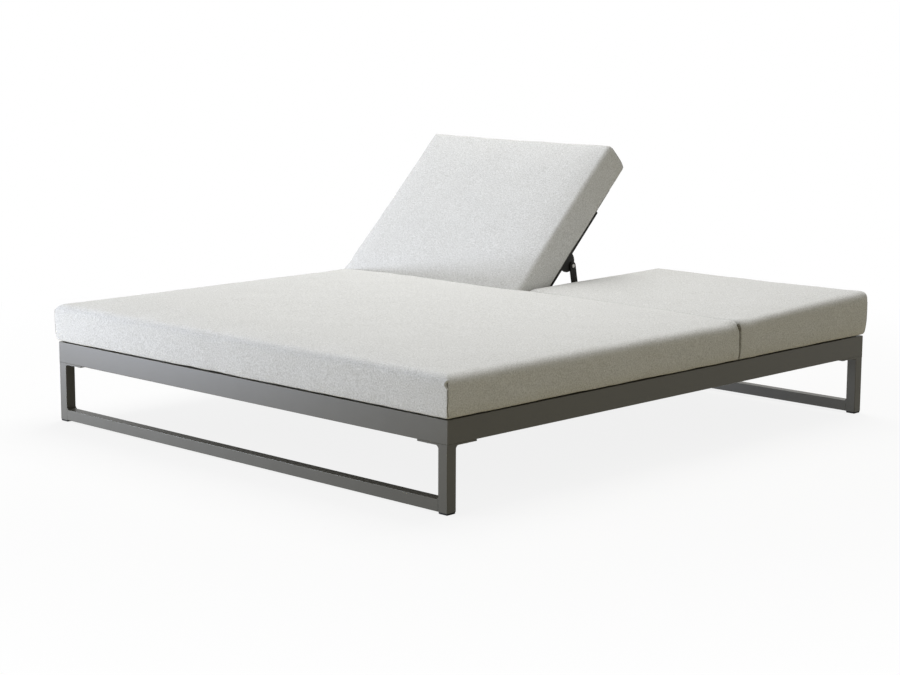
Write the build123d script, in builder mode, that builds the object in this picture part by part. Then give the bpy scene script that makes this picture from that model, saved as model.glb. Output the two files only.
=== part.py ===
from build123d import *
import os
from math import cos, hypot, radians, sin

# Double chaise lounger: one low aluminium frame that carries one wide seat cushion and two backs,
# each with its own cushion, prop and racks. The left back stands raised, the right one lies flat.
# X runs across it, +Y points to the head end, +Z is up, and the origin is on the floor at its middle.

os.makedirs("parts", exist_ok=True)

# Driving dimensions of the frame, in millimetres; shares, counts and angles are named as such
frame_length = 2000.0
frame_width = 1790.0
rail_width = 35.0
rail_height = 68.5
rail_wall = 2.0
tube_corner = 1.5
tube_edge = 0.8
leg_tube = 35.0
leg_height = 185.5
leg_wall = 2.0
weld_leg = 7.0
weld_hollow_share = 0.38
glide_height = 6.0
glide_inset = 1.5
glide_plug_height = 14.0
glide_chamfer = 1.5
corner_plate_thickness = 5.0
corner_plate_reach = 116.0
corner_plate_inner_radius = 20.0

# Driving dimensions of the deck
deck_drop = 2.0
slat_width = 60.0
slat_thickness = 15.0
slat_wall = 1.5
slat_count = 12
slat_end_gap = 2.0
first_slat_gap = 12.0
ledge_flange = 22.0
ledge_wall = 3.0
centre_beam_width = 35.0
centre_beam_height = 40.0
hinge_beam_width = 35.0
hinge_beam_height = 35.0
hinge_beam_gap = 33.0

# Driving dimensions of the backs
back_angle = 45.0
hinge_share = 0.154
back_tube = 25.0
back_wall = 2.0
back_inner_x = 40.0
back_side_gap = 18.0
back_head_gap = 5.0
back_slat_width = 50.0
back_slat_thickness = 12.0
back_slats_per_bay = 3
stay_bar_thickness = 8.0
stay_bar_start = 30.0
stay_bar_head_gap = 99.0
hinge_pin_radius = 5.0
hinge_pin_head_radius = 8.0
hinge_pin_head_height = 3.0
hinge_lug_thickness = 5.0
hinge_lug_radius = 12.0
hinge_lug_gap = 2.0

# Driving dimensions of the props and racks
lug_thickness = 6.0
lug_radius = 37.0
lug_share = 0.5
prop_pin_offset = 5.0
prop_pin_drop = 60.4
prop_pin_radius = 4.0
prop_pin_head_radius = 7.0
prop_pin_head_height = 2.5
strut_width = 28.0
strut_thickness = 6.0
strut_gap = 1.0
strut_raised_angle = -79.0
strut_flat_angle = 6.0
rod_radius = 6.0
rod_drop = 3.7
rod_end_gap = 1.0
rack_thickness = 5.0
rack_stops = 4
rack_stop_step = 9.0
rack_notch_depth = 5.0
rack_notch_floor_share = 0.5
rack_tip_share = 0.3
rack_run_shares = (0.7, 1.1, 1.4, 1.7)
rack_hook = 7.0
rack_clearance = 0.6
rack_foot = 14.0
path_steps = 40
path_step_share = 0.001

# Driving dimensions of the cushions
cushion_overhang = 10.0
cushion_edge_height = 124.0
cushion_crown = 14.0
cushion_draw_in = 3.0
cushion_corner_radius = 24.0
cushion_top_radius = 18.0
cushion_joint_radius = 8.0
cushion_bottom_edge = 5.0
cushion_split_back = 7.5
cushion_gap = 1.0
cushion_pivot_back = 19.0
cushion_pivot_rise = 33.4
back_cushion_inner_x = 3.0
back_cushion_side_gap = 4.0

# Clearances, and one overrun for every cut
soft_clearance = 0.3
pin_clearance = 0.1
overrun = 20.0

# Heights and edges that follow from them
half_length = frame_length / 2
half_width = frame_width / 2
plate_bottom = glide_height + leg_height
rail_bottom = plate_bottom + corner_plate_thickness
rail_top = rail_bottom + rail_height
rail_middle = rail_bottom + rail_height / 2
inner_x = half_width - rail_width
inner_y = half_length - rail_width
deck_top = rail_top - deck_drop
deck_under = deck_top - slat_thickness
hinge_y = frame_length * hinge_share
hinge_z = rail_top - back_tube / 2
hinge_beam_head = hinge_y - hinge_beam_gap
hinge_beam_foot = hinge_beam_head - hinge_beam_width
back_length = inner_y - back_head_gap - hinge_y
back_outer_x = inner_x - back_side_gap
stay_bar_end = back_length - stay_bar_head_gap
lug_y = back_length * lug_share
cushion_bottom = rail_top + soft_clearance
cushion_edge = cushion_bottom + cushion_edge_height
cushion_top = cushion_edge + cushion_crown
cushion_split_y = hinge_y - cushion_split_back
cushion_pivot_y = hinge_y - cushion_pivot_back
cushion_pivot_z = rail_top + cushion_pivot_rise
seat_side = half_width + cushion_overhang
back_cushion_outer_x = seat_side - back_cushion_side_gap
ends = (-1, 1)


def finish(builder, name):
    """Name a finished node and write it."""
    builder.part.label = name
    export_step(builder.part, f"parts/{name}.step")


def tube_section(across, deep, wall):
    """The hollow section of a rectangular tube, drawn in the open sketch."""
    RectangleRounded(across, deep, tube_corner)
    Rectangle(across - 2 * wall, deep - 2 * wall, mode=Mode.SUBTRACT)


def slat_section(across, deep, wall):
    """The same for the thin tubes under the cushions, whose outer edges are broken, not rolled."""
    corners = Rectangle(across, deep).vertices()
    chamfer(corners, tube_edge)
    Rectangle(across - 2 * wall, deep - 2 * wall, mode=Mode.SUBTRACT)


def carried(place, plane):
    """A plane carried along to a place, such as a back's own tilted frame."""
    return Plane(place * plane.location)


def along_x(place, x, y, z):
    """A plane square to X at a point of a place, with its own x along Y and its y along Z."""
    return carried(place, Plane(origin=(x, y, z), x_dir=(0, 1, 0), z_dir=(1, 0, 0)))


def along_y(place, x, y, z):
    """A plane square to Y at a point of a place, with its own x along -X and its y along Z."""
    return carried(place, Plane(origin=(x, y, z), x_dir=(-1, 0, 0), z_dir=(0, 1, 0)))


ground = Location()

# Rails: four rectangular tubes, mitred at the corners
for side, name in zip(ends, ("side_rail_left", "side_rail_right")):
    with BuildPart() as side_rail:
        with BuildSketch(along_y(ground, side * (half_width - rail_width / 2), -half_length, rail_middle)):
            tube_section(rail_width, rail_height, rail_wall)
        extrude(amount=frame_length)
        for end in ends:
            mitre = Plane(origin=(side * half_width, end * half_length, 0), z_dir=(side, -end, 0))
            split(bisect_by=mitre, keep=Keep.TOP)
    finish(side_rail, name)

for end, name in zip(ends, ("foot_rail", "head_rail")):
    with BuildPart() as end_rail:
        with BuildSketch(along_x(ground, -half_width, end * (half_length - rail_width / 2), rail_middle)):
            tube_section(rail_width, rail_height, rail_wall)
        extrude(amount=frame_width)
        for side in ends:
            mitre = Plane(origin=(side * half_width, end * half_length, 0), z_dir=(-side, end, 0))
            split(bisect_by=mitre, keep=Keep.TOP)
    finish(end_rail, name)

# Corner plates: flat L-shaped plates between the leg frames and the rails
corners = [(side, end) for side in ends for end in ends]
with BuildPart() as corner_plates:
    for side, end in corners:
        with BuildSketch(Plane.XY.offset(plate_bottom)):
            with Locations((side * (half_width - corner_plate_reach / 2), end * (half_length - rail_width / 2))):
                Rectangle(corner_plate_reach, rail_width)
            with Locations((side * (half_width - rail_width / 2), end * (half_length - corner_plate_reach / 2))):
                Rectangle(rail_width, corner_plate_reach)
            inner_corner = vertices().sort_by_distance((side * inner_x, end * inner_y, plate_bottom))[0]
            fillet(inner_corner, corner_plate_inner_radius)
        extrude(amount=corner_plate_thickness)
finish(corner_plates, "corner_plates")

# Leg frames: two posts and a bottom bar at each end, of the same square tube
for end, name in zip(ends, ("foot", "head")):
    leg_y = end * (half_length - leg_tube / 2)
    with BuildPart() as leg_posts:
        with BuildSketch(Plane.XY.offset(glide_height)):
            with Locations(*[(side * (half_width - leg_tube / 2), leg_y) for side in ends]):
                tube_section(leg_tube, leg_tube, leg_wall)
        extrude(amount=leg_height)
    finish(leg_posts, f"{name}_leg_posts")
    with BuildPart() as leg_bar:
        with BuildSketch(along_x(ground, leg_tube - half_width, leg_y, glide_height + leg_tube / 2)):
            tube_section(leg_tube, leg_tube, leg_wall)
        extrude(amount=frame_width - 2 * leg_tube)
    finish(leg_bar, f"{name}_leg_bar")


def weld_profile(across, up):
    """A concave fillet of weld in the open sketch's corner, reaching across and up."""
    with BuildLine() as outline:
        Line((0, 0), (across * weld_leg, 0))
        hollow = (across * weld_leg * weld_hollow_share, up * weld_leg * weld_hollow_share)
        ThreePointArc((across * weld_leg, 0), hollow, (0, up * weld_leg))
        Line((0, up * weld_leg), (0, 0))
    make_face(outline.edges())


with BuildPart() as leg_welds:
    for side, end in corners:
        post_x = side * (half_width - leg_tube)
        post_y = end * (half_length - leg_tube)
        for height, up in ((glide_height + leg_tube, 1), (plate_bottom, -1)):
            weld_plane = Plane(origin=(post_x, post_y, height), x_dir=(1, 0, 0), z_dir=(0, -1, 0))
            with BuildSketch(weld_plane):
                weld_profile(-side, up)
            extrude(amount=-end * leg_tube)
        with BuildSketch(along_x(ground, post_x, post_y, plate_bottom)):
            weld_profile(-end, -1)
        extrude(amount=side * leg_tube)
finish(leg_welds, "leg_welds")

# Glides: moulded pads plugged into the feet of the posts
glide_size = leg_tube - 2 * glide_inset
plug_size = leg_tube - 2 * leg_wall - 2 * pin_clearance
with BuildPart() as glides:
    for side, end in corners:
        post_centre = (side * (half_width - leg_tube / 2), end * (half_length - leg_tube / 2))
        with BuildSketch(Plane.XY):
            with Locations(post_centre):
                Rectangle(glide_size, glide_size)
        extrude(amount=glide_height)
        with BuildSketch(Plane.XY.offset(glide_height)):
            with Locations(post_centre):
                Rectangle(plug_size, plug_size)
        extrude(amount=glide_plug_height)
    chamfer(faces().sort_by(Axis.Z)[:4].edges(), glide_chamfer)
finish(glides, "glides")

# Slat rows: evenly spaced from the foot rail to the hinge beam, which carries the last slat
first_slat_y = -inner_y + first_slat_gap + slat_width / 2
last_slat_y = hinge_beam_head - slat_width / 2
slat_pitch = (last_slat_y - first_slat_y) / (slat_count - 1)
slat_rows = [first_slat_y + slat_pitch * row for row in range(slat_count)]

# Beams: the hinge beam crosses between the side rails, the centre beams run to the end rails
with BuildPart() as hinge_beam:
    hinge_beam_middle = (hinge_beam_head + hinge_beam_foot) / 2
    with BuildSketch(along_x(ground, -inner_x, hinge_beam_middle, deck_under - hinge_beam_height / 2)):
        slat_section(hinge_beam_width, hinge_beam_height, rail_wall)
    extrude(amount=2 * inner_x)
finish(hinge_beam, "hinge_beam")

centre_beam_middle = deck_under - centre_beam_height / 2
with BuildPart() as centre_beams:
    for start, stop in ((-inner_y, hinge_beam_foot), (hinge_beam_head, inner_y)):
        with BuildSketch(along_y(ground, 0, start, centre_beam_middle)):
            slat_section(centre_beam_width, centre_beam_height, rail_wall)
        extrude(amount=stop - start)
finish(centre_beams, "centre_beams")

# Ledges: angles on the side rails that carry the seat slats, and on the head rail under the backs
back_ledge_top = rail_top - back_tube - soft_clearance


def angle_section(towards, top):
    """An angle in the open sketch, with its web at x = 0 and its flange reaching sideways."""
    with Locations((towards * ledge_flange / 2, top - ledge_wall / 2)):
        Rectangle(ledge_flange, ledge_wall)
    with Locations((towards * ledge_wall / 2, top - ledge_flange / 2)):
        Rectangle(ledge_wall, ledge_flange)


with BuildPart() as slat_ledges:
    for side in ends:
        with BuildSketch(along_y(ground, side * inner_x, -inner_y, 0)):
            angle_section(side, deck_under)
        extrude(amount=hinge_beam_foot + inner_y)
finish(slat_ledges, "slat_ledges")

with BuildPart() as back_ledges:
    for side in ends:
        with BuildSketch(along_x(ground, side * centre_beam_width / 2, inner_y, 0)):
            angle_section(-1, back_ledge_top)
        extrude(amount=side * (inner_x - centre_beam_width / 2))
finish(back_ledges, "back_ledges")

# Seat slats: flat tubes from each ledge to the middle of the centre beam
slat_length = inner_x - 2 * slat_end_gap
for side, name in zip(ends, ("left", "right")):
    with BuildPart() as seat_slats:
        for y in slat_rows:
            with BuildSketch(along_x(ground, side * slat_end_gap, y, deck_top - slat_thickness / 2)):
                slat_section(slat_width, slat_thickness, slat_wall)
            extrude(amount=side * slat_length)
    finish(seat_slats, f"seat_slats_{name}")

# Hinge brackets: rounded lugs welded to the hinge beam, beside each back's side tubes
bracket_starts = (back_inner_x - hinge_lug_gap - hinge_lug_thickness, back_outer_x + hinge_lug_gap)
bracket_low = deck_under - hinge_beam_height
with BuildPart() as hinge_brackets:
    for side in ends:
        for start in bracket_starts:
            with BuildSketch(along_x(ground, side * start, 0, 0)):
                with BuildLine():
                    Polyline(
                        (hinge_y, hinge_z - hinge_lug_radius),
                        (hinge_beam_head, bracket_low),
                        (hinge_beam_head, hinge_z),
                        (hinge_y, hinge_z + hinge_lug_radius),
                    )
                    ThreePointArc(
                        (hinge_y, hinge_z + hinge_lug_radius),
                        (hinge_y + hinge_lug_radius, hinge_z),
                        (hinge_y, hinge_z - hinge_lug_radius),
                    )
                make_face()
                with Locations((hinge_y, hinge_z)):
                    Circle(hinge_pin_radius + pin_clearance, mode=Mode.SUBTRACT)
            extrude(amount=side * hinge_lug_thickness)
finish(hinge_brackets, "hinge_brackets")

# Props: where a prop's pin and its foot rod are at a given angle of the back
pin_y = lug_y + prop_pin_offset
pin_z = back_tube / 2 - prop_pin_drop


def prop_pin_at(angle):
    """The prop's pin, in the lounger's own Y and Z."""
    turn = radians(angle)
    return (
        hinge_y + pin_y * cos(turn) - pin_z * sin(turn),
        hinge_z + pin_y * sin(turn) + pin_z * cos(turn),
    )


# The struts are as long as it takes to stand the raised back's rod just under the rail top
raised_pin_z = prop_pin_at(back_angle)[1]
strut_length = (raised_pin_z - rail_top + rod_drop) / sin(radians(-strut_raised_angle))


def strut_angle_at(angle):
    """The prop's slope: it folds at a steady rate as the back goes down."""
    lowered = (back_angle - angle) / back_angle
    return strut_raised_angle + (strut_flat_angle - strut_raised_angle) * lowered


def rod_at(angle):
    """The foot rod's centre."""
    y, z = prop_pin_at(angle)
    slope = radians(strut_angle_at(angle))
    return y + strut_length * cos(slope), z + strut_length * sin(slope)


def below_rod(angle, distance):
    """A point under the rod's path, square to it."""
    step = back_angle * path_step_share
    high = rod_at(min(angle + step, back_angle))
    low = rod_at(max(angle - step, 0))
    run_y, run_z = low[0] - high[0], low[1] - high[1]
    run = hypot(run_y, run_z)
    y, z = rod_at(angle)
    return y + run_z / run * distance, z - run_y / run * distance


# Racks: notched plates on the side rails and the centre beam, on which the foot rods stand
rod_room = rod_radius + rack_clearance
stop_angles = [back_angle - rack_stop_step * stop for stop in range(rack_stops)]
tip_turn = rack_stop_step * rack_tip_share
rack_points = []
start_y, start_z = rod_at(back_angle)
rack_points.append((start_y - rod_room - rack_hook, start_z - rod_room - rack_notch_depth - rack_foot))
rack_points.append((start_y - rod_room - rack_hook, start_z + rack_clearance))
rack_points.append((start_y - rod_room, start_z + rack_clearance))
rack_points.append((start_y - rod_room, start_z - rod_room - rack_notch_depth))
for stop_angle in stop_angles:
    floor_y, floor_z = rod_at(stop_angle)
    notch_floor_y = floor_y + rod_radius * rack_notch_floor_share
    rack_points.append((notch_floor_y, floor_z - rod_room - rack_notch_depth))
    rack_points.append(below_rod(stop_angle - tip_turn, rod_room))
run_angles = [stop_angles[-1] - rack_stop_step * share for share in rack_run_shares]
rack_points += [below_rod(run_angle, rod_room) for run_angle in run_angles]
rod_path = [rod_at(back_angle * step / path_steps) for step in range(path_steps + 1)]
reach = max(y for y, z in rod_path)
lowest = min(z for y, z in rod_path)
rack_points[-1] = (reach + rod_room, lowest - rod_room)
rack_points.append((reach + rod_room, rod_at(0)[1] + rack_clearance))
rack_points.append((reach + rod_room + rack_hook, rod_at(0)[1] + rack_clearance))
rack_points.append((reach + rod_room + rack_hook, lowest - rod_room - rack_foot))
rack_points.append((rod_at(stop_angles[-1])[0], lowest - rod_room - rack_foot))

rack_starts = (centre_beam_width / 2, inner_x - rack_thickness)
for side, name in zip(ends, ("left", "right")):
    with BuildPart() as racks:
        for start in rack_starts:
            with BuildSketch(along_x(ground, side * start, 0, 0)):
                with BuildLine():
                    Polyline(*rack_points, close=True)
                make_face()
            extrude(amount=side * rack_thickness)
    finish(racks, f"racks_{name}")


def side_spans(depth, inset):
    """Where a piece of a given depth sits on a back's inner and outer tube, from the centre."""
    return (back_inner_x + inset, depth), (back_outer_x - inset, -depth)


def build_back(name, side, angle):
    """One back: its tubes, slats, stay bars, lugs, pins and the prop that folds under it."""
    place = Location((0, hinge_y, hinge_z), (angle, 0, 0))
    span_middle = side * (back_inner_x + back_outer_x) / 2
    clear_span = back_outer_x - back_inner_x - 2 * back_tube
    tube_centres = (back_inner_x + back_tube / 2, back_outer_x - back_tube / 2)

    with BuildPart() as side_tubes:
        for centre in tube_centres:
            with BuildSketch(along_y(place, side * centre, 0, 0)):
                slat_section(back_tube, back_tube, back_wall)
            extrude(amount=back_length)
            with BuildSketch(along_x(place, side * centre, 0, 0)):
                Circle(back_tube / 2)
            extrude(amount=back_tube / 2, both=True)
            with BuildSketch(along_x(place, side * centre, 0, 0)):
                Circle(hinge_pin_radius + pin_clearance)
            extrude(amount=back_tube, both=True, mode=Mode.SUBTRACT)
    finish(side_tubes, f"{name}_back_side_tubes")

    with BuildPart() as cross_tubes:
        with BuildSketch(along_x(place, span_middle, 0, 0)):
            Circle(back_tube / 2)
            Circle(back_tube / 2 - back_wall, mode=Mode.SUBTRACT)
        extrude(amount=clear_span / 2, both=True)
        for y in (lug_y, back_length - back_tube / 2):
            with BuildSketch(along_x(place, span_middle, y, 0)):
                slat_section(back_tube, back_tube, back_wall)
            extrude(amount=clear_span / 2, both=True)
    finish(cross_tubes, f"{name}_back_cross_tubes")

    bays = (
        (back_tube / 2, lug_y - back_tube / 2),
        (lug_y + back_tube / 2, back_length - back_tube),
    )
    with BuildPart() as back_slats:
        for start, stop in bays:
            pitch = (stop - start) / back_slats_per_bay
            for row in range(back_slats_per_bay):
                slat_y = start + pitch * (row + 0.5)
                slat_z = (back_tube - back_slat_thickness) / 2
                with BuildSketch(along_x(place, span_middle, slat_y, slat_z)):
                    slat_section(back_slat_width, back_slat_thickness, slat_wall)
                extrude(amount=clear_span / 2, both=True)
    finish(back_slats, f"{name}_back_slats")

    bar_face = -back_tube / 2 - stay_bar_thickness
    with BuildPart() as stay_bars:
        for centre in tube_centres:
            bar_middle = -(back_tube + stay_bar_thickness) / 2
            with BuildSketch(along_y(place, side * centre, stay_bar_start, bar_middle)):
                Rectangle(back_tube, stay_bar_thickness)
            extrude(amount=stay_bar_end - stay_bar_start)
    finish(stay_bars, f"{name}_stay_bars")

    with BuildPart() as stay_lugs:
        for start, depth in side_spans(lug_thickness, 0):
            with BuildSketch(along_x(place, side * start, 0, 0)):
                with BuildLine():
                    Line((lug_y - lug_radius, bar_face), (lug_y + lug_radius, bar_face))
                    ThreePointArc(
                        (lug_y + lug_radius, bar_face),
                        (lug_y, bar_face - lug_radius),
                        (lug_y - lug_radius, bar_face),
                    )
                make_face()
                with Locations((pin_y, pin_z)):
                    Circle(prop_pin_radius + pin_clearance, mode=Mode.SUBTRACT)
            extrude(amount=side * depth)
    finish(stay_lugs, f"{name}_stay_lugs")

    with BuildPart() as hinge_pins:
        pin_end = -(hinge_lug_gap + hinge_lug_thickness + soft_clearance)
        for face, inward in side_spans(1, 0):
            head = face + inward * pin_end
            with BuildSketch(along_x(place, side * head, 0, 0)):
                Circle(hinge_pin_radius)
            extrude(amount=side * inward * (back_tube - pin_end))
            with BuildSketch(along_x(place, side * head, 0, 0)):
                RegularPolygon(hinge_pin_head_radius, 6)
            extrude(amount=-side * inward * hinge_pin_head_height)
    finish(hinge_pins, f"{name}_hinge_pins")

    pin_at = prop_pin_at(angle)
    slope = strut_angle_at(angle)
    prop_place = Location((0, pin_at[0], pin_at[1]), (slope, 0, 0))
    with BuildPart() as struts:
        for start, depth in side_spans(strut_thickness, -strut_gap):
            with BuildSketch(along_x(prop_place, side * start, 0, 0)):
                with Locations((strut_length / 2, 0)):
                    SlotCenterToCenter(strut_length, strut_width)
                Circle(prop_pin_radius + pin_clearance, mode=Mode.SUBTRACT)
                with Locations((strut_length, 0)):
                    Circle(rod_radius + pin_clearance, mode=Mode.SUBTRACT)
            extrude(amount=-side * depth)
    finish(struts, f"{name}_prop_struts")

    with BuildPart() as rod:
        rod_start = centre_beam_width / 2 + rod_end_gap
        with BuildSketch(along_x(prop_place, side * rod_start, strut_length, 0)):
            Circle(rod_radius)
        extrude(amount=side * (inner_x - rod_end_gap - rod_start))
    finish(rod, f"{name}_prop_rod")

    with BuildPart() as prop_pins:
        pin_end = -(strut_gap + strut_thickness + soft_clearance)
        for face, inward in side_spans(1, 0):
            head = face + inward * pin_end
            with BuildSketch(along_x(prop_place, side * head, 0, 0)):
                Circle(prop_pin_radius)
            extrude(amount=side * inward * (lug_thickness - pin_end + prop_pin_head_height))
            with BuildSketch(along_x(prop_place, side * head, 0, 0)):
                RegularPolygon(prop_pin_head_radius, 6)
            extrude(amount=-side * inward * prop_pin_head_height)
    finish(prop_pins, f"{name}_prop_pins")


build_back("left", -1, back_angle)
build_back("right", 1, 0)


def arch(start, stop):
    """A low arch in the open sketch, from one crown edge to the other."""
    with BuildLine() as outline:
        Line((start, cushion_edge), (stop, cushion_edge))
        ThreePointArc((stop, cushion_edge), ((start + stop) / 2, cushion_top), (start, cushion_edge))
    make_face(outline.edges())


def build_cushion(left, right, foot, head, free_end):
    """One cushion as it lies flat; its free end is the one away from the split."""
    crown_inset = cushion_top_radius + cushion_draw_in
    joint_y = head if free_end < 0 else foot
    with BuildPart() as crown:
        with BuildSketch(along_x(ground, left - overrun, 0, 0)):
            arch(foot + crown_inset, head - crown_inset)
        extrude(amount=right - left + 2 * overrun)
        with BuildSketch(along_y(ground, 0, foot - overrun, 0)):
            arch(crown_inset - right, -left - crown_inset)
        extrude(amount=head - foot + 2 * overrun, mode=Mode.INTERSECT)
    with BuildPart() as cushion:
        with BuildSketch(Plane.XY.offset(cushion_bottom)):
            with BuildLine() as plan:
                middle_x, middle_y = (left + right) / 2, (foot + head) / 2
                free_y = foot if free_end < 0 else head
                ThreePointArc((left, foot), (left + cushion_draw_in, middle_y), (left, head))
                ThreePointArc((right, foot), (right - cushion_draw_in, middle_y), (right, head))
                Line((left, joint_y), (right, joint_y))
                drawn_y = free_y - free_end * cushion_draw_in
                ThreePointArc((left, free_y), (middle_x, drawn_y), (right, free_y))
            make_face(plan.edges())
        extrude(amount=cushion_edge_height)
        uprights = edges().filter_by(Axis.Z).sort_by(Axis.Y)
        fillet(uprights[:2] if free_end < 0 else uprights[-2:], cushion_corner_radius)
        top_edges = edges().group_by(Axis.Z)[-1]
        fillet(top_edges.sort_by(lambda edge: abs((edge @ 0.5).Y - joint_y))[0], cushion_joint_radius)
        top_edges = edges().group_by(Axis.Z)[-1]
        fillet(top_edges.sort_by(lambda edge: abs((edge @ 0.5).Y - joint_y))[1:], cushion_top_radius)
        chamfer(edges().group_by(Axis.Z)[0], cushion_bottom_edge)
        add(crown.part)
    return cushion


# Seat cushion: one full-width cushion from the foot end to the split
seat_head = cushion_split_y - cushion_gap / 2
seat_cushion = build_cushion(-seat_side, seat_side, -half_length - cushion_overhang, seat_head, -1)
finish(seat_cushion, "seat_cushion")

# Back cushions: the right one lies flat, the left one stands turned up about the seam at its foot,
# where its underside is drawn back clear of the seat cushion
back_foot = cushion_split_y + cushion_gap / 2
back_head = half_length + cushion_overhang
right_cushion = build_cushion(back_cushion_inner_x, back_cushion_outer_x, back_foot, back_head, 1)
finish(right_cushion, "right_back_cushion")

flat_cushion = build_cushion(-back_cushion_outer_x, -back_cushion_inner_x, back_foot, back_head, 1)
seam = Axis((0, cushion_pivot_y, cushion_pivot_z), (1, 0, 0))
raised_cushion = flat_cushion.part.rotate(seam, back_angle)
with BuildPart() as left_cushion:
    add(raised_cushion)
    with BuildSketch(along_x(ground, -back_cushion_outer_x - overrun, 0, 0)):
        with Locations((seat_head + soft_clearance, cushion_top + soft_clearance)):
            Rectangle(frame_length, rail_top, align=(Align.MAX, Align.MAX))
    extrude(amount=back_cushion_outer_x + overrun, mode=Mode.SUBTRACT)
finish(left_cushion, "left_back_cushion")
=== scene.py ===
from math import cos, pi, radians, sin

import bpy
import numpy as np
from mathutils import Matrix, Vector


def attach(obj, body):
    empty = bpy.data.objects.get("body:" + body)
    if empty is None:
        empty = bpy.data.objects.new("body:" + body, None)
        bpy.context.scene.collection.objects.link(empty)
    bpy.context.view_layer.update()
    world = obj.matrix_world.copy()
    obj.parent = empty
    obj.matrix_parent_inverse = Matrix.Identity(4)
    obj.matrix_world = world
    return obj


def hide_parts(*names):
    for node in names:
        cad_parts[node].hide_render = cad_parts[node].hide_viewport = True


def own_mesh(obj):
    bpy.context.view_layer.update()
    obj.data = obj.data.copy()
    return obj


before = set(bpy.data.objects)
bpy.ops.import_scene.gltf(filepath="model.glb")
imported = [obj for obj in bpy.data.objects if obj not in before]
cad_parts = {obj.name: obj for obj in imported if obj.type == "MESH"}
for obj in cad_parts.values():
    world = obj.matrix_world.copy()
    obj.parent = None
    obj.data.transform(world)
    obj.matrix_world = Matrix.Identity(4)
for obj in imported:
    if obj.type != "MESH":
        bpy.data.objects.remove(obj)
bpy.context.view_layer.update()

# Camera: a long lens to the right of the foot end, a little above the lounger and tipped down at it,
# as in the photograph.
camera_place = (4.7315, -4.9112, 1.4085)
turned_left, tipped_down, leaning = 44.381, 9.495, 0.208
camera_data = bpy.data.cameras.new("camera")
camera_data.lens = 83.04
camera_data.sensor_width = 36.0
camera_data.clip_end = 100.0
camera = bpy.data.objects.new("camera", camera_data)
bpy.context.scene.collection.objects.link(camera)
camera.matrix_world = (
    Matrix.Translation(camera_place)
    @ Matrix.Rotation(radians(turned_left), 4, "Z")
    @ Matrix.Rotation(radians(90 - tipped_down), 4, "X")
    @ Matrix.Rotation(radians(leaning), 4, "Z")
)
bpy.context.scene.camera = camera
bpy.context.scene.view_settings.view_transform = "Standard"


# Studio air: a room of white paper. The camera and mirrors see the paper itself, and the lounger is lit
# by a fill that is cooler at the left and a little dimmer and warmer at the right.
def linear(code):
    """An sRGB hex colour as linear RGBA."""
    parts = [int(code[i:i + 2], 16) / 255 for i in (1, 3, 5)]
    return (*[p / 12.92 if p <= 0.04045 else ((p + 0.055) / 1.055) ** 2.4 for p in parts], 1.0)


def add(tree, kind, inputs=None, **settings):
    """Adds a node to a tree. An input is a plain value, or an output socket to link from."""
    node = tree.nodes.new(kind)
    for key, value in settings.items():
        setattr(node, key, value)
    for key, value in (inputs or {}).items():
        if isinstance(value, bpy.types.NodeSocket):
            tree.links.new(value, node.inputs[key])
        else:
            node.inputs[key].default_value = value
    return node


def seen_directly(tree):
    """1 for rays that show the background itself: to the camera, mirrored or through glass."""
    path = add(tree, "ShaderNodeLightPath")
    mirrored = add(tree, "ShaderNodeMath", {
        0: path.outputs["Is Camera Ray"], 1: path.outputs["Is Glossy Ray"],
    }, operation="MAXIMUM")
    return add(tree, "ShaderNodeMath", {
        0: mirrored.outputs[0], 1: path.outputs["Is Transmission Ray"],
    }, operation="MAXIMUM").outputs[0]


world = bpy.data.worlds.new("studio_air")
bpy.context.scene.world = world
world.use_nodes = True
air = world.node_tree
air.nodes.clear()
way = add(air, "ShaderNodeSeparateXYZ", {0: add(air, "ShaderNodeTexCoord").outputs["Generated"]})
to_right = add(air, "ShaderNodeMapRange", {
    "Value": way.outputs["X"], "From Min": -1.0, "From Max": 1.0,
})
air_tint = add(air, "ShaderNodeMix", {
    0: to_right.outputs[0], 6: linear("#F5F7FF"), 7: linear("#F6F4EE"),
}, data_type="RGBA")
air_level = add(air, "ShaderNodeMapRange", {
    "Value": to_right.outputs[0], "To Min": 0.52, "To Max": 0.44,
})
fill = add(air, "ShaderNodeBackground", {
    "Color": air_tint.outputs[2], "Strength": air_level.outputs[0],
})
paper = add(air, "ShaderNodeBackground", {"Color": linear("#FFFFFF"), "Strength": 1.0})
both = add(air, "ShaderNodeMixShader", {
    0: seen_directly(air), 1: fill.outputs[0], 2: paper.outputs[0],
})
add(air, "ShaderNodeOutputWorld", {"Surface": both.outputs[0]})


# Studio floor: painted matt white round the lounger, so that it shows the soft shadow and no gloss, and
# running out into the white of the room with distance. What it throws back up is dimmer and warmer.
def new_material(name):
    """An empty node material, with its tree."""
    material = bpy.data.materials.new(name)
    material.use_nodes = True
    material.node_tree.nodes.clear()
    return material, material.node_tree


paint_ends, all_white = 1.3, 3.2
floor_paint, tree = new_material("matt_floor_paint")
shown = add(tree, "ShaderNodeBsdfDiffuse", {"Color": linear("#E6E5E2")})
bounced = add(tree, "ShaderNodeBsdfDiffuse", {"Color": linear("#A09774")})
lit = add(tree, "ShaderNodeEmission", {"Color": linear("#FFFFFF"), "Strength": 1.0})
where = add(tree, "ShaderNodeTexCoord").outputs["Object"]
far = add(tree, "ShaderNodeVectorMath", {0: where}, operation="LENGTH")
white_share = add(tree, "ShaderNodeMapRange", {
    "Value": far.outputs["Value"], "From Min": paint_ends, "From Max": all_white,
    "To Min": 0.86, "To Max": 1.0,
}, interpolation_type="SMOOTHSTEP")
direct = add(tree, "ShaderNodeMixShader", {
    0: white_share.outputs[0], 1: shown.outputs[0], 2: lit.outputs[0],
})
both = add(tree, "ShaderNodeMixShader", {
    0: seen_directly(tree), 1: bounced.outputs[0], 2: direct.outputs[0],
})
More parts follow.
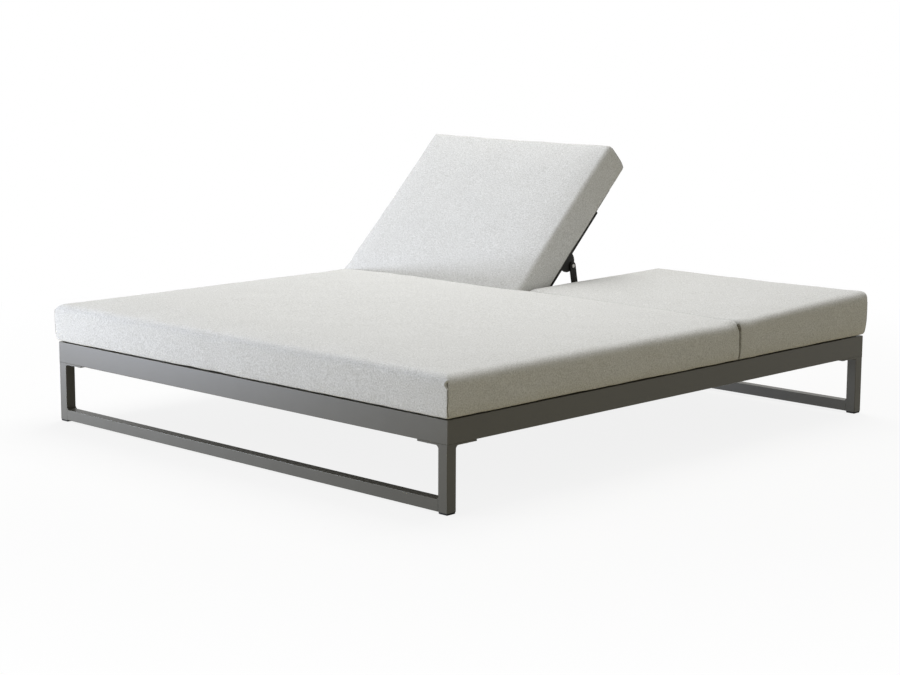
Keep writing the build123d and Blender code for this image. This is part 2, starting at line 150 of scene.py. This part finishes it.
add(tree, "ShaderNodeOutputMaterial", {"Surface": both.outputs[0]})
bpy.ops.object.select_all(action="DESELECT")
bpy.ops.mesh.primitive_plane_add(size=80.0, location=(0, 0, -0.0005))
floor = bpy.context.object
floor.name = "studio_floor"
floor.data.materials.append(floor_paint)

# Lamps: a low strip light and a soft box stand at the left of the foot end and light the faces there.
# A wide soft box hangs over the head end, turned to the foot, and lights the tops.
for name, place, aim, wide, high, power, tint in (
    ("low_strip_light", (-3.2, -3.4, 0.17), (-0.2, -1.0, 0.2), 1.2, 0.30, 158.0, "#E8EEFF"),
    ("front_softbox", (-2.2, -4.8, 1.6), (-0.2, -0.6, 0.3), 1.6, 1.6, 40.0, "#E8EEFF"),
    ("overhead_softbox", (-1.0, 1.6, 5.0), (-0.9, -7.0, 0.4), 4.0, 4.0, 286.0, "#FFFFFF"),
):
    lamp_data = bpy.data.lights.new(name, "AREA")
    lamp_data.shape = "RECTANGLE"
    lamp_data.size = wide
    lamp_data.size_y = high
    lamp_data.energy = power
    lamp_data.color = linear(tint)[:3]
    lamp = bpy.data.objects.new(name, lamp_data)
    bpy.context.scene.collection.objects.link(lamp)
    lamp.location = place
    lamp.rotation_euler = (Vector(aim) - Vector(place)).to_track_quat("-Z", "Y").to_euler()


# Frame: welded aluminium tube with a satin polyester powder coat in a warm taupe grey. The baked powder
# gives an even colour with a faint orange peel of 2.4 mm, and a soft sheen at low angles. A noise's
# scale here and below is how many of its grains go into a metre.
def finish(material, *endings):
    """Gives a material to the CAD pieces whose names end in one of these ways."""
    for name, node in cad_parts.items():
        if name.endswith(endings):
            for held in node.material_slots:
                held.material = material


frame_coat, tree = new_material("satin_powder_coat")
where = add(tree, "ShaderNodeTexCoord").outputs["Object"]
peel = add(tree, "ShaderNodeTexNoise", {"Vector": where, "Scale": 420.0, "Detail": 2.0})
cloud = add(tree, "ShaderNodeTexNoise", {"Vector": where, "Scale": 14.0, "Detail": 3.0})
coat_colour = add(tree, "ShaderNodeMix", {
    0: cloud.outputs["Fac"], 6: linear("#56544B"), 7: linear("#5C5A51"),
}, data_type="RGBA")
coat_rough = add(tree, "ShaderNodeMapRange", {
    "Value": cloud.outputs["Fac"], "To Min": 0.34, "To Max": 0.40,
})
coat_bump = add(tree, "ShaderNodeBump", {
    "Height": peel.outputs["Fac"], "Strength": 0.12, "Distance": 0.0004,
})
coat = add(tree, "ShaderNodeBsdfPrincipled", {
    "Base Color": coat_colour.outputs[2], "Roughness": coat_rough.outputs[0],
    "Normal": coat_bump.outputs[0], "Specular IOR Level": 0.22,
})
add(tree, "ShaderNodeOutputMaterial", {"Surface": coat.outputs[0]})
finish(frame_coat, "")

# Glides: black nylon, injection moulded, one under each corner of the leg frames. The mould leaves a
# fine matt skin with a grain of 0.7 mm.
nylon, tree = new_material("moulded_black_nylon")
where = add(tree, "ShaderNodeTexCoord").outputs["Object"]
skin = add(tree, "ShaderNodeTexNoise", {"Vector": where, "Scale": 1500.0, "Detail": 1.0})
skin_bump = add(tree, "ShaderNodeBump", {
    "Height": skin.outputs["Fac"], "Strength": 0.2, "Distance": 0.0002,
})
black = add(tree, "ShaderNodeBsdfPrincipled", {
    "Base Color": linear("#121211"), "Roughness": 0.6, "Normal": skin_bump.outputs[0],
    "Specular IOR Level": 0.15,
})
add(tree, "ShaderNodeOutputMaterial", {"Surface": black.outputs[0]})
finish(nylon, "glides")

# Prop gear: the stay bars, lugs, struts and rods are drawn near-black and nearly matt, much darker than
# the frame, with a pebbled skin of 1.4 mm, so they hardly show in the shade of the back.
prop_gear_near_black, tree = new_material("near_black_matt_prop_gear")
where = add(tree, "ShaderNodeTexCoord").outputs["Object"]
pebble = add(tree, "ShaderNodeTexNoise", {"Vector": where, "Scale": 700.0, "Detail": 2.0})
black_rough = add(tree, "ShaderNodeMapRange", {
    "Value": pebble.outputs["Fac"], "To Min": 0.48, "To Max": 0.60,
})
black_bump = add(tree, "ShaderNodeBump", {
    "Height": pebble.outputs["Fac"], "Strength": 0.15, "Distance": 0.0003,
})
dark_skin = add(tree, "ShaderNodeBsdfPrincipled", {
    "Base Color": linear("#1F1E1B"), "Roughness": black_rough.outputs[0],
    "Normal": black_bump.outputs[0], "Specular IOR Level": 0.2,
})
add(tree, "ShaderNodeOutputMaterial", {"Surface": dark_skin.outputs[0]})
finish(prop_gear_near_black, "_stay_bars", "_stay_lugs", "_prop_struts", "_prop_rod")

# Pins of the hinges and props: plain stainless steel, turned and left bright. The tool marks are about
# 1 mm here, coarser than the real ones, and only vary the shine.
steel, tree = new_material("plain_stainless_steel")
where = add(tree, "ShaderNodeTexCoord").outputs["Object"]
grain = add(tree, "ShaderNodeTexNoise", {"Vector": where, "Scale": 900.0, "Detail": 2.0})
steel_rough = add(tree, "ShaderNodeMapRange", {
    "Value": grain.outputs["Fac"], "To Min": 0.28, "To Max": 0.42,
})
metal = add(tree, "ShaderNodeBsdfPrincipled", {
    "Base Color": linear("#B9B7B2"), "Metallic": 1.0, "Roughness": steel_rough.outputs[0],
})
add(tree, "ShaderNodeOutputMaterial", {"Surface": metal.outputs[0]})
finish(steel, "_pins")

# Leg bolts: eight M8 button-head socket bolts of stainless steel go up through the arms of the corner
# plates into the rails. Each head is a low dome with a hexagon socket.
bolt_radius, bolt_head, bolt_dome = 0.007, 0.0044, 0.0014
socket_radius, socket_deep = 0.0025, bolt_head * 0.6
plate_under, plate_out_x, plate_out_y = 0.1915, 0.895, 1.0
bolt_from_end, bolt_in = 0.088, 0.0175
bpy.ops.object.select_all(action="DESELECT")
bpy.ops.mesh.primitive_cylinder_add(
    vertices=24, radius=bolt_radius, depth=bolt_head, location=(0, 0, plate_under - bolt_head / 2),
)
bolt = bpy.context.object
bolt.name = "leg_bolt"
bpy.ops.object.transform_apply(location=True, rotation=True, scale=True)
for face in bolt.data.polygons:
    face.select = face.normal.z < -0.9
bpy.ops.object.mode_set(mode="EDIT")
bpy.ops.mesh.select_mode(type="FACE")
bpy.ops.mesh.inset(thickness=bolt_radius - socket_radius * 1.25)
bpy.ops.mesh.extrude_region_move(TRANSFORM_OT_translate={"value": (0, 0, socket_deep)})
bpy.ops.object.mode_set(mode="OBJECT")
rounded = bolt.modifiers.new("rounded", "BEVEL")
rounded.width = bolt_dome
rounded.segments = 3
rounded.limit_method = "ANGLE"
rounded.angle_limit = radians(50)
bpy.ops.object.modifier_apply(modifier="rounded")
bpy.ops.object.shade_smooth_by_angle(angle=radians(40))
bolt.data.materials.append(steel)
spots = []
for side_x in (-1, 1):
    for side_y in (-1, 1):
        spots.append((side_x * (plate_out_x - bolt_from_end), side_y * (plate_out_y - bolt_in)))
        spots.append((side_x * (plate_out_x - bolt_in), side_y * (plate_out_y - bolt_from_end)))
for number, (x, y) in enumerate(spots, 1):
    bpy.ops.object.select_all(action="DESELECT")
    bolt.select_set(True)
    bpy.context.view_layer.objects.active = bolt
    bpy.ops.object.duplicate()
    one = bpy.context.object
    one.name = f"leg_bolt_{number}"
    one.location = (x, y, 0)
    bpy.ops.object.transform_apply(location=True, rotation=True, scale=True)
    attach(one, "frame")
bpy.data.objects.remove(bolt)

# Cushion cloth: solution-dyed acrylic in a light grey heather. Pale and darker grey fibres are spun
# together, so the plain weave looks finely mottled. The real threads are 0.5 mm, too fine to show
# here, so the yarns are drawn 2.4 mm wide and the flecks of fibre at about 4 mm.
cloth, tree = new_material("heather_acrylic_weave")
where = add(tree, "ShaderNodeTexCoord").outputs["Object"]
fleck = add(tree, "ShaderNodeTexNoise", {
    "Vector": where, "Scale": 230.0, "Detail": 4.0, "Roughness": 0.8,
})
fleck_share = add(tree, "ShaderNodeMapRange", {
    "Value": fleck.outputs["Fac"], "From Min": 0.32, "From Max": 0.68,
})
drift = add(tree, "ShaderNodeTexNoise", {"Vector": where, "Scale": 9.0, "Detail": 2.0})
pale = add(tree, "ShaderNodeMix", {
    0: drift.outputs["Fac"], 6: linear("#E1E1DE"), 7: linear("#E8E8E5"),
}, data_type="RGBA")
yarns = add(tree, "ShaderNodeMix", {
    0: fleck_share.outputs[0], 6: linear("#B0AFA9"), 7: pale.outputs[2],
}, data_type="RGBA")
lengthwise = add(tree, "ShaderNodeVectorMath", {
    0: where, 1: (420.0, 90.0, 420.0),
}, operation="MULTIPLY")
crosswise = add(tree, "ShaderNodeVectorMath", {
    0: where, 1: (90.0, 420.0, 420.0),
}, operation="MULTIPLY")
warp = add(tree, "ShaderNodeTexNoise", {
    "Vector": lengthwise.outputs[0], "Scale": 1.0, "Detail": 2.0,
})
weft = add(tree, "ShaderNodeTexNoise", {
    "Vector": crosswise.outputs[0], "Scale": 1.0, "Detail": 2.0,
})
weave = add(tree, "ShaderNodeMath", {
    0: warp.outputs["Fac"], 1: weft.outputs["Fac"],
}, operation="ADD")
relief = add(tree, "ShaderNodeMath", {0: weave.outputs[0], 1: fleck.outputs["Fac"]}, operation="ADD")
cloth_bump = add(tree, "ShaderNodeBump", {
    "Height": relief.outputs[0], "Strength": 0.6, "Distance": 0.0012,
})
fabric = add(tree, "ShaderNodeBsdfPrincipled", {
    "Base Color": yarns.outputs[2], "Roughness": 0.92, "Normal": cloth_bump.outputs[0],
    "Specular IOR Level": 0.2, "Sheen Weight": 0.1, "Sheen Roughness": 0.5,
})
add(tree, "ShaderNodeOutputMaterial", {"Surface": fabric.outputs[0]})

# Seam threads and folded seam allowance: the same cloth turned in on itself and sewn with darker bonded
# polyester threads. The narrow darker line this gives the corners is partly that colour and partly
# painted shade, the shade of a sewn groove put into the colour. The stitches are 4 mm long.
seam_and_shade, tree = new_material("seam_thread_and_painted_shade")
where = add(tree, "ShaderNodeTexCoord").outputs["Object"]
stitch = add(tree, "ShaderNodeTexNoise", {"Vector": where, "Scale": 260.0, "Detail": 2.0})
# The dark end of this mix is partly painted shade: groove shade put into the threads' colour.
thread_and_shade_colour = add(tree, "ShaderNodeMix", {
    0: stitch.outputs["Fac"], 6: linear("#3E3B33"), 7: linear("#A19E94"),
}, data_type="RGBA")
stitch_bump = add(tree, "ShaderNodeBump", {
    "Height": stitch.outputs["Fac"], "Strength": 0.5, "Distance": 0.0008,
})
seam_shade_bsdf = add(tree, "ShaderNodeBsdfPrincipled", {
    "Base Color": thread_and_shade_colour.outputs[2], "Roughness": 0.85, "Normal": stitch_bump.outputs[0],
    "Specular IOR Level": 0.2,
})
add(tree, "ShaderNodeOutputMaterial", {"Surface": seam_shade_bsdf.outputs[0]})

# Seat cushion: a thick foam block in a sewn cover across the whole width, cut a little over size so
# that the cover is tight. The top is crowned and rolls over softly at the free sides, and is tighter at
# the split. The lower edge draws in and stands off the rails, and the sides pull in between corners.
under = 0.2653
height = 0.124
cell = 0.021
levels = (0.002, 0.006, 0.016, 0.032, 0.054, 0.076, 0.096, 0.107, 0.115, 0.121)
held_edge = 0.0045
soft_rim, tight_rim, hem_round = 0.026, 0.010, 0.003
hem_draw, hem_height = 0.006, 0.040
hem_gap, gap_depth, gap_fade, gap_height = 0.0038, 0.030, 0.016, 0.030
side_bow = 0.003
free_corner, split_corner = 0.006, 0.003
flat_reach, flat_share = 0.45, 0.35
corner_lift, corner_reach = 0.006, 0.045
split_y, split_hold = 0.3003, 0.05
split_lean, lean_from, lean_over, lean_reach = 0.012, 0.07, 0.045, 0.06
split_foot, split_top, split_reach = 0.0006, 0.0018, 0.03
notch, notch_from, notch_over = 0.0035, 0.09, 0.03
rail_x, rail_y = 0.8955, 1.0005
most_swell = 0.004


def roll(h, radius, top):
    """How far a wall stands back at height h where it rolls over into the top with this radius."""
    past = np.clip(h - (top - radius), 0, radius)
    return radius - np.sqrt(radius ** 2 - past ** 2)


def cushion_block(name, width, length):
    """A cube on the unit square, as high as the foam and cut into cells, finest at its edges."""
    bpy.ops.object.select_all(action="DESELECT")
    bpy.ops.mesh.primitive_cube_add(
        size=1.0, location=(0.5, 0.5, height / 2), scale=(1.0, 1.0, height),
    )
    made = bpy.context.object
    made.name = name
    bpy.ops.object.transform_apply(location=True, rotation=True, scale=True)
    bpy.ops.object.mode_set(mode="EDIT")
    across, along = round(width / cell), round(length / cell)
    cuts = [((i / across, 0, 0), (1, 0, 0)) for i in range(1, across)]
    cuts += [((0, i / along, 0), (0, 1, 0)) for i in range(1, along)]
    cuts += [((share, 0, 0), (1, 0, 0)) for share in (held_edge / width, 1 - held_edge / width)]
    cuts += [((0, share, 0), (0, 1, 0)) for share in (held_edge / length, 1 - held_edge / length)]
    cuts += [((0, 0, h), (0, 0, 1)) for h in levels]
    for place, normal in cuts:
        bpy.ops.mesh.select_all(action="SELECT")
        bpy.ops.mesh.bisect(plane_co=place, plane_no=normal)
    bpy.ops.object.mode_set(mode="OBJECT")
    return made


def points_of(made):
    """Where a mesh's points are."""
    places = np.empty(len(made.data.vertices) * 3)
    made.data.vertices.foreach_get("co", places)
    return places.reshape(-1, 3)


def put_points(made, places):
    """Moves a mesh's points to these places."""
    made.data.vertices.foreach_set("co", places.ravel())
    made.data.update()


def cushion_form(name, low, high, split, rims, crown, full=0.0):
    """A sewn foam block between two plan corners. split is the end that meets the other cushions,
    rims are the radii of the left, right, near and far top edges, crown is how far the middle of the
    top stands above its edges, and full is extra height away from the split."""
    width, length = high[0] - low[0], high[1] - low[1]
    made = cushion_block(name, width, length)
    s, t, h = points_of(made).T

    # The four walls, drawn in at the hem and rolled over at the top
    hem = hem_draw * np.clip(1 - h / hem_height, 0, 1) ** 2
    edge = roll(height - h, hem_round, height)
    left = low[0] + roll(h, rims[0], height) + hem + edge
    right = high[0] - roll(h, rims[1], height) - hem - edge
    near = low[1] + roll(h, rims[2], height) + edge + hem * (split == "high")
    far = high[1] - roll(h, rims[3], height) - edge - hem * (split == "low")
    free_half = (t < 0.5) if split == "high" else (t > 0.5)
    x = left + s * (right - left) + side_bow * (1 - 2 * s) * (1 - (2 * t - 1) ** 2)
    y = near + t * (far - near)
    y += side_bow * (1 - 2 * t) * (1 - (2 * s - 1) ** 2) * free_half
    for side_x, turn_x in ((left, 1), (right, -1)):
        for side_y, turn_y, end in ((near, 1, "low"), (far, -1, "high")):
            radius = split_corner if end == split else free_corner
            in_x = np.clip(radius - turn_x * (x - side_x), 0, radius)
            in_y = np.clip(radius - turn_y * (y - side_y), 0, radius)
            long = np.hypot(in_x, in_y)
            keep = np.maximum(in_x, in_y) / np.maximum(long, 1e-9)
            corner = (in_x > 0) & (in_y > 0)
            x = np.where(corner, x + turn_x * in_x * (1 - keep), x)
            y = np.where(corner, y + turn_y * in_y * (1 - keep), y)

    # The crown, flatter toward the split and the far end, and the extra fullness
    over = 1 - np.abs(2 * s - 1) ** 6
    from_split = (1 - t) if split == "high" else t
    over *= 1 - np.clip(1 - from_split * length / flat_reach, 0, 1) ** 2 * flat_share
    over *= 1 - np.clip(2 * from_split - 1, 0, 1) ** 5
    rise = from_split ** (0.25 + 0.65 * s) * (1 + 0.3 * s ** 3)
    z = under + h * (1 + full / height * rise) + crown * over * (h / height) ** 3

    # The lifted corners at the split, and the gap over the rails
    to_side = np.minimum(s, 1 - s) * width
    to_end = np.minimum(t, 1 - t) * length
    at_corner = np.clip(1 - to_side / corner_reach, 0, 1) * np.clip(1 - to_end / corner_reach, 0, 1)
    at_corner *= from_split < 0.5
    z += corner_lift * at_corner * (h / height) ** 3
    from_sides = np.minimum(x - low[0], high[0] - x)
    inward = np.minimum(from_sides, (y - low[1]) if split == "high" else (high[1] - y))
    outer_band = np.clip((gap_depth + gap_fade - inward) / gap_fade, 0, 1)
    z += hem_gap * outer_band * np.clip(1 - h / gap_height, 0, 1)

    # The split, which opens toward the sides into a notch at the top, and leans to the foot end
    apart = split_foot + split_top * h / height
    apart += notch * np.clip((h - notch_from) / notch_over, 0, 1)
    apart *= np.clip(1 - from_sides / split_reach, 0, 1)
    away = -1 if split == "high" else 1
    y += apart * np.clip(1.2 - np.abs(y - split_y) / split_reach, 0, 1) * away
    near_split = np.clip(1 - np.abs(y - split_y) / lean_reach, 0, 1) ** 2
    y -= split_lean * near_split * np.clip((h - lean_from) / lean_over, 0, 1) ** 2
    put_points(made, np.stack([x, y, z], 1))
    return made


def swell(made):
    """Blows the cover up from inside with its underside held, each point within its allowance."""
    start = points_of(made)
    held = made.vertex_groups.new(name="underside")
    low_points = np.flatnonzero(start[:, 2] < under + hem_gap + 0.0005)
    held.add([int(i) for i in low_points], 1.0, "REPLACE")
    bpy.ops.object.select_all(action="DESELECT")
    made.select_set(True)
    bpy.context.view_layer.objects.active = made
    cover = made.modifiers.new("cover", "CLOTH")
    cover.settings.quality = 5
    cover.settings.mass = 0.3
    cover.settings.tension_stiffness = 80.0
    cover.settings.compression_stiffness = 80.0
    cover.settings.bending_stiffness = 4.0
    cover.settings.vertex_group_mass = "underside"
    cover.settings.use_pressure = True
    cover.settings.uniform_pressure_force = 0.1
    cover.settings.effector_weights.gravity = 0.0
    cover.point_cache.frame_start = 1
    cover.point_cache.frame_end = 20
    for step in range(1, 21):
        bpy.context.scene.frame_set(step)
    blown = points_of(made.evaluated_get(bpy.context.evaluated_depsgraph_get()))
    made.modifiers.remove(cover)
    bpy.context.scene.frame_set(1)
    move = blown - start
    length = np.linalg.norm(move, axis=1, keepdims=True)
    move *= most_swell * np.tanh(length / most_swell / 2) / np.maximum(length, 1e-9)
    move[:, 1:2] *= np.clip(np.abs(start[:, 1:2] - split_y) / split_hold, 0, 1)
    put_points(made, start + move)


def smooth(made):
    """Adds the last fineness to a cover, with the slight waviness of cloth over foam."""
    bpy.ops.object.select_all(action="DESELECT")
    made.select_set(True)
    bpy.context.view_layer.objects.active = made
    fine = made.modifiers.new("fine", "SUBSURF")
    fine.levels = fine.render_levels = 1
    bpy.ops.object.modifier_apply(modifier="fine")
    waves = bpy.data.textures.new("cover_waves", "CLOUDS")
    waves.noise_scale = 0.11
    waves.noise_depth = 1
    wavy = made.modifiers.new("wavy", "DISPLACE")
    wavy.texture = waves
    wavy.strength = 0.0035
    wavy.mid_level = 0.5
    bpy.ops.object.modifier_apply(modifier="wavy")
    places = points_of(made)
    over_frame = (np.abs(places[:, 0]) < rail_x) & (np.abs(places[:, 1]) < rail_y)
    places[:, 2] = np.where(over_frame, np.maximum(places[:, 2], under), places[:, 2])
    put_points(made, places)
    bpy.ops.object.shade_smooth()


def cover_up(piece, body, material=cloth):
    """Dresses a piece of cushion in the cloth and gives it to its body."""
    piece.data.materials.clear()
    piece.data.materials.append(material)
    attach(piece, body)


seam_heights = (0.006, 0.014, 0.030, 0.052, 0.074, 0.092, 0.103, 0.110)
ear_taper = (0.5, 0.9, 1.1, 1.1, 0.8)


def corner_seam(name, made, turn_x, turn_y, thick=0.0018, heights=None, out=-0.0006, lean=0.0):
    """The sewn corner of a flat cover: a narrow welt up the corner, or the ear that leans off it."""
    places = points_of(made)
    side = turn_x * places[:, 0] > turn_x * places[:, 0].mean()
    end = turn_y * places[:, 1] > turn_y * places[:, 1].mean()
    outward = turn_x * places[:, 0] + turn_y * places[:, 1]
    route = []
    for h in heights or seam_heights:
        row = np.flatnonzero(side & end & (np.abs(places[:, 2] - under - h) < 0.006))
        at = places[row[np.argmax(outward[row])]]
        sway = 0.0008 * sin(170 * h)
        aside = lean * sin(pi * len(route) / 4)
        route.append((
            at[0] + turn_x * (out + sway - aside), at[1] + turn_y * (out - sway + aside * 0.4), at[2],
        ))
    bpy.ops.object.select_all(action="DESELECT")
    bpy.ops.curve.primitive_nurbs_path_add()
    seam = bpy.context.object
    seam.name = name
    line = seam.data.splines[0]
    line.points.add(len(route) - len(line.points))
    for number, (point, place) in enumerate(zip(line.points, route)):
        point.co = (place[0], place[1], place[2], 1.0)
        point.radius = ear_taper[number] if heights else 1.0
    line.order_u = 3
    line.use_endpoint_u = True
    seam.data.bevel_depth = thick
    seam.data.bevel_resolution = 2
    seam.data.use_fill_caps = True
    bpy.ops.object.convert(target="MESH")
    seam = bpy.context.object
    bpy.ops.object.transform_apply(location=True, rotation=True, scale=True)
    bpy.ops.object.shade_smooth()
    return seam


seat = cushion_form(
    "seat_cushion_cover", (-0.905, -1.0095), (0.905, 0.2984), "high",
    (soft_rim, soft_rim, soft_rim, tight_rim), 0.0135,
)
swell(seat)
smooth(seat)
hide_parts("seat_cushion")
cover_up(seat, "frame")
for label, turn in (("left", -1), ("right", 1)):
    cover_up(corner_seam(f"seat_{label}_corner_seam", seat, turn, -1), "frame", seam_and_shade)
    # The seams at the split corners are real, but their dark seam colour in the narrow gap is also
    # painted shadow of the split.
    split_seam_and_shadow = corner_seam(f"seat_{label}_split_seam_and_shadow", seat, turn, 1, thick=0.0024, out=0.0004)
    cover_up(split_seam_and_shadow, "frame", seam_and_shade)
corner_ear = corner_seam(
    "seat_right_corner_ear", seat, 1, -1,
    thick=0.0042, heights=(0.090, 0.098, 0.105, 0.110, 0.115), out=0.0015, lean=0.007,
)
cover_up(corner_ear, "frame")
# The ear at the top of the split, in the dark seam colour: a real tuft of cloth, and painted shadow of
# the notch it stands in.
split_ear_and_shadow = corner_seam(
    "seat_right_split_ear", seat, 1, 1,
    thick=0.0058, heights=(0.096, 0.103, 0.110, 0.117, 0.123), out=0.0022, lean=0.002,
)
cover_up(split_ear_and_shadow, "frame", seam_and_shade)

# Back cushions: the same foam and cover. Each folds at the split as its back rises, and its foot presses
# into the seat. What the seat pushes aside is a piece of its own, the toe: it lies at the split while
# the cushion is flat, and is inside the raised cushion when that stands up.
fold_y, fold_z = 0.289, 0.2984
raised = 45
toe_middle, toe_keep = -0.446, 0.992


def turned(made, degrees):
    """Turns a cushion about the line that it folds on."""
    places = points_of(made)
    angle = radians(degrees)
    out, up = places[:, 1] - fold_y, places[:, 2] - fold_z
    places[:, 1] = fold_y + out * cos(angle) - up * sin(angle)
    places[:, 2] = fold_z + out * sin(angle) + up * cos(angle)
    put_points(made, places)


def parted(made, name, way, other):
    """A copy of a cushion with only what lies outside or inside another one."""
    bpy.ops.object.select_all(action="DESELECT")
    made.select_set(True)
    bpy.context.view_layer.objects.active = made
    bpy.ops.object.duplicate()
    piece = bpy.context.object
    piece.name = name
    cut = piece.modifiers.new("cut", "BOOLEAN")
    cut.operation = way
    cut.solver = "EXACT"
    cut.object = other
    bpy.ops.object.modifier_apply(modifier="cut")
    bpy.ops.object.shade_smooth_by_angle(angle=radians(50))
    return piece


for side, low_x, high_x, rims, crown, full in (
    ("left", -0.880, -0.002, (0.014, 0.013, tight_rim, 0.008), 0.012, 0.0),
    ("right", 0.003, 0.904, (0.010, 0.020, tight_rim, 0.010), 0.006, 0.020),
):
    low, high = (low_x, 0.3022), (high_x, 1.0095)
    flat = cushion_form(f"{side}_back_form", low, high, "low", rims, crown, full)
    swell(flat)
    smooth(flat)
    seams = [
        corner_seam(f"{side}_back_{label}_seam", flat, turn, 1)
        for label, turn in (("left", -1), ("right", 1))
    ]
    turned(flat, raised)
    back = parted(flat, f"{side}_back_cushion_cover", "DIFFERENCE", seat)
    toe = parted(flat, f"{side}_back_cushion_toe", "INTERSECT", seat)
    bpy.data.objects.remove(flat)
    turned(toe, -raised)
    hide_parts(f"{side}_back_cushion")
    cover_up(back, f"{side}_cushion")
    cover_up(toe, "frame")
    for seam in seams:
        if side == "left":
            turned(seam, raised)
        cover_up(seam, f"{side}_cushion", seam_and_shade)
    if side == "right":
        turned(back, -raised)
        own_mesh(toe)
    else:
        places = points_of(toe)
        places[:, 0] = toe_middle + (places[:, 0] - toe_middle) * toe_keep
        put_points(toe, places)
